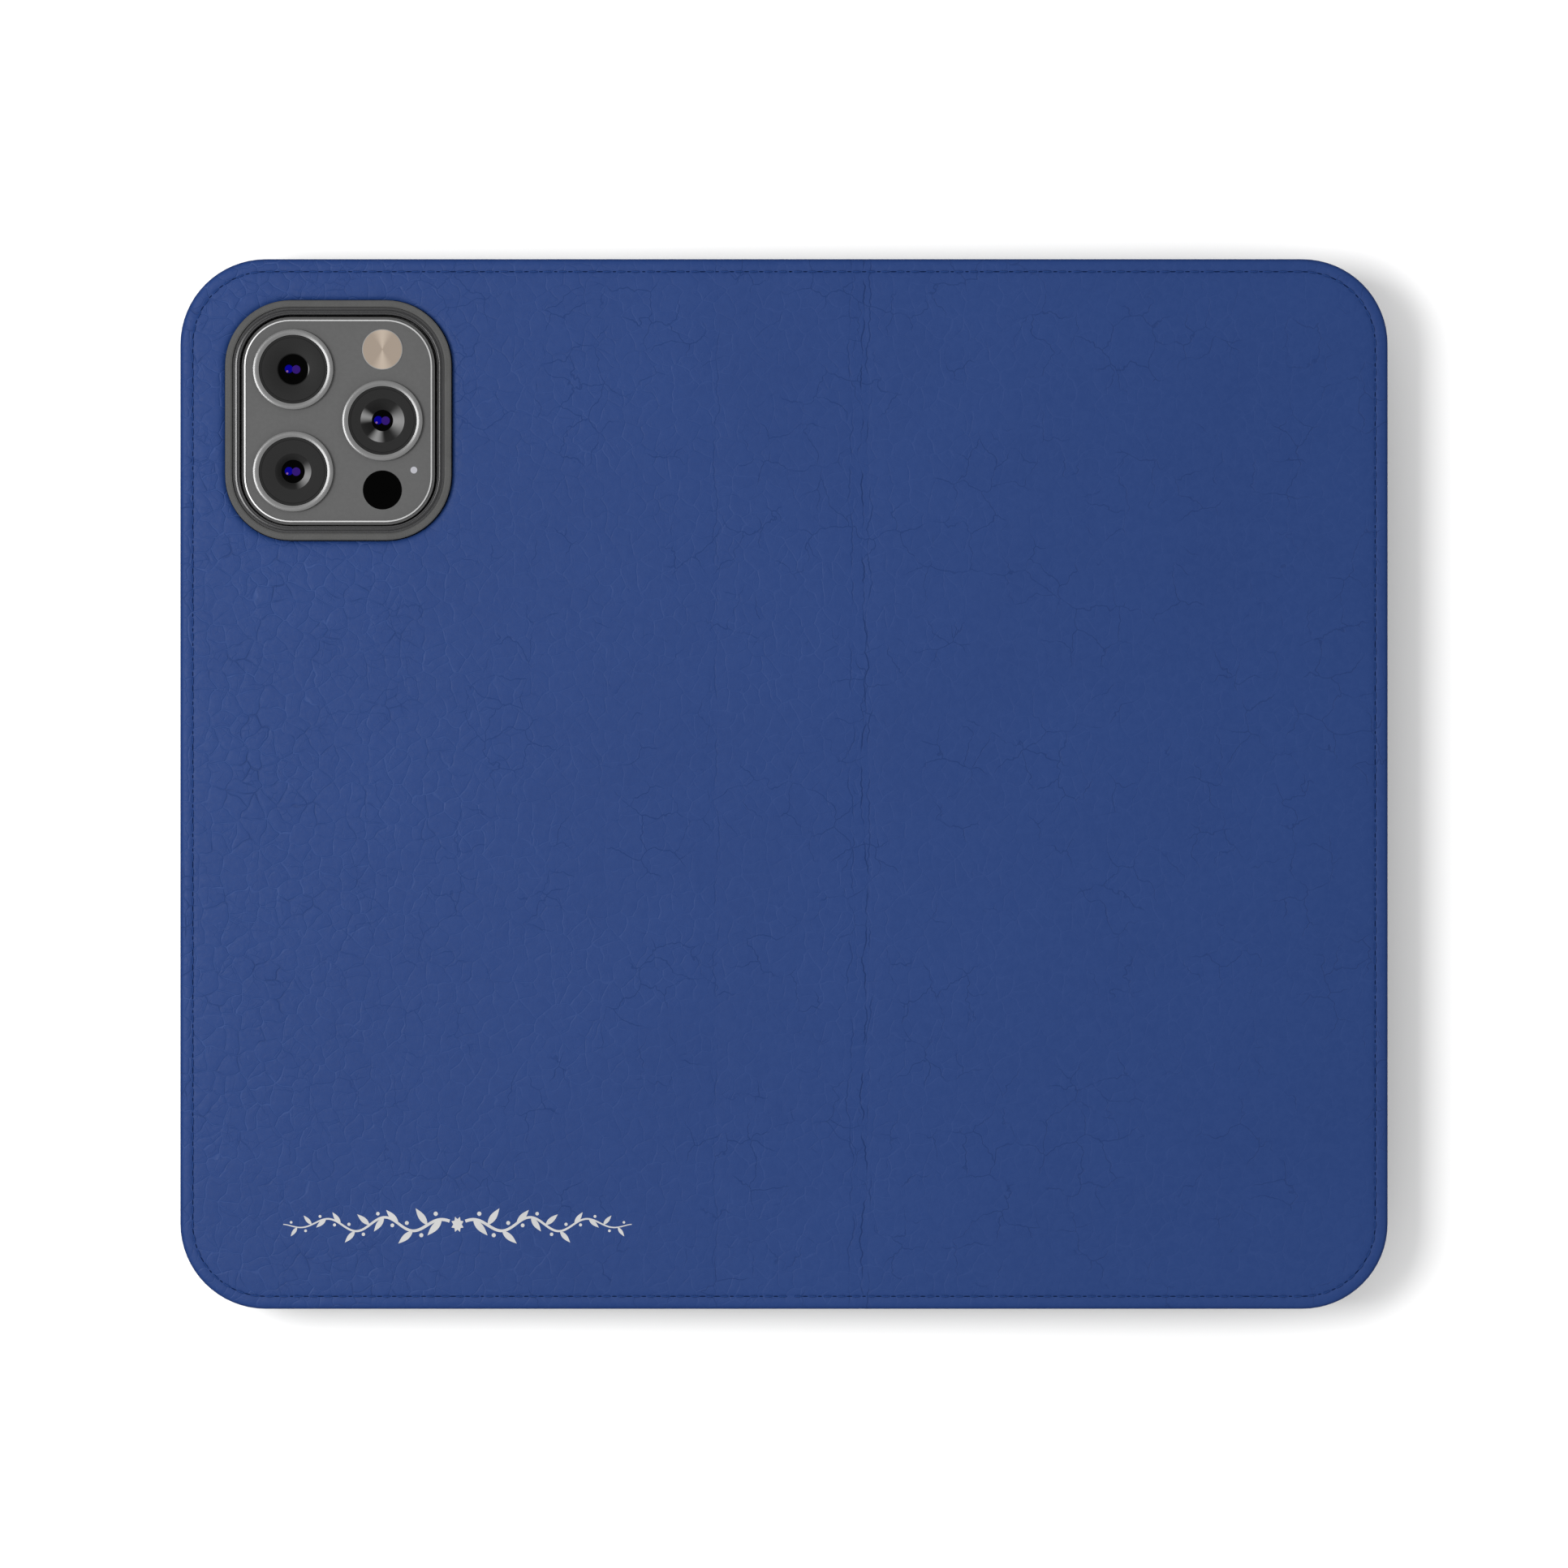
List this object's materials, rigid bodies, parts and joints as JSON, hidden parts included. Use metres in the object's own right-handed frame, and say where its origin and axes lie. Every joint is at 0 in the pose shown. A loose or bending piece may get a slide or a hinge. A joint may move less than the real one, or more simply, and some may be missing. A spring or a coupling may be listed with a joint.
{
  "type": "phone wallet case",
  "caption": "Book-style phone case: blue grained leather cover with a snap-in phone tray, camera window, button caps, cash pocket and card slots, lying open with its outside up.",
  "frame": {"origin": "middle of the open case's outline, on the table that the tray's lip rests on", "axes": "+X from the back panel across the spine to the front cover, +Y towards the top of the phone, +Z out of the leather"},
  "size_m": [0.1762, 0.153, 0.0132],
  "materials": {
    "leather": "pebbled matt, blue",
    "thread": "twisted polyester thread, blue",
    "lining": "microfibre, dark grey",
    "board": "pressed fibre board",
    "adhesive": "double-sided tape",
    "shell": "matt, grey",
    "liner": "satin soft TPU, black",
    "metal": "plated"
  },
  "bodies": {
    "back_panel": {"back_leather": "leather", "back_board": "board", "back_lining": "lining", "back_stitching": "thread", "back_hinge_strip": "leather", "tray_adhesive": "adhesive", "tray_shell": "shell", "tray_liner": "liner", "closure_strip": "metal"},
    "spine": {"spine_leather": "leather", "spine_board": "board", "spine_lining": "lining", "spine_stitching": "thread"},
    "front_cover": {"cover_leather": "leather", "cover_board": "board", "cover_lining": "lining", "cover_stitching": "thread", "cover_hinge_strip": "leather", "cash_pocket_panel": "lining", "cash_pocket_seams": "lining", "card_slot_upper": "lining", "card_slot_middle": "lining", "card_slot_lower": "lining", "card_slot_seams": "lining", "pocket_stitching": "thread", "closure_magnets": "metal"},
    "volume_up": {"volume_up_cap": "liner"},
    "volume_down": {"volume_down_cap": "liner"},
    "side_button": {"side_button_cap": "liner"}
  },
  "joints": [
    {"name": "spine_fold", "type": "hinge", "parent": "back_panel", "child": "spine", "pos_m": [-0.01005, 0, 0.0118], "axis": [0, 1, 0], "range_deg": [-90, 90]},
    {"name": "cover_fold", "type": "hinge", "parent": "spine", "child": "front_cover", "pos_m": [0.01195, 0, 0.0118], "axis": [0, 1, 0], "range_deg": [-90, 90]},
    {"name": "volume_up_press", "type": "slide", "parent": "back_panel", "child": "volume_up", "axis": [-1, 0, 0], "range_m": [0, 0.0004], "stiffness_N_per_m": 1500},
    {"name": "volume_down_press", "type": "slide", "parent": "back_panel", "child": "volume_down", "axis": [-1, 0, 0], "range_m": [0, 0.0004], "stiffness_N_per_m": 1500},
    {"name": "side_button_press", "type": "slide", "parent": "back_panel", "child": "side_button", "axis": [1, 0, 0], "range_m": [0, 0.0004], "stiffness_N_per_m": 1500}
  ]
}
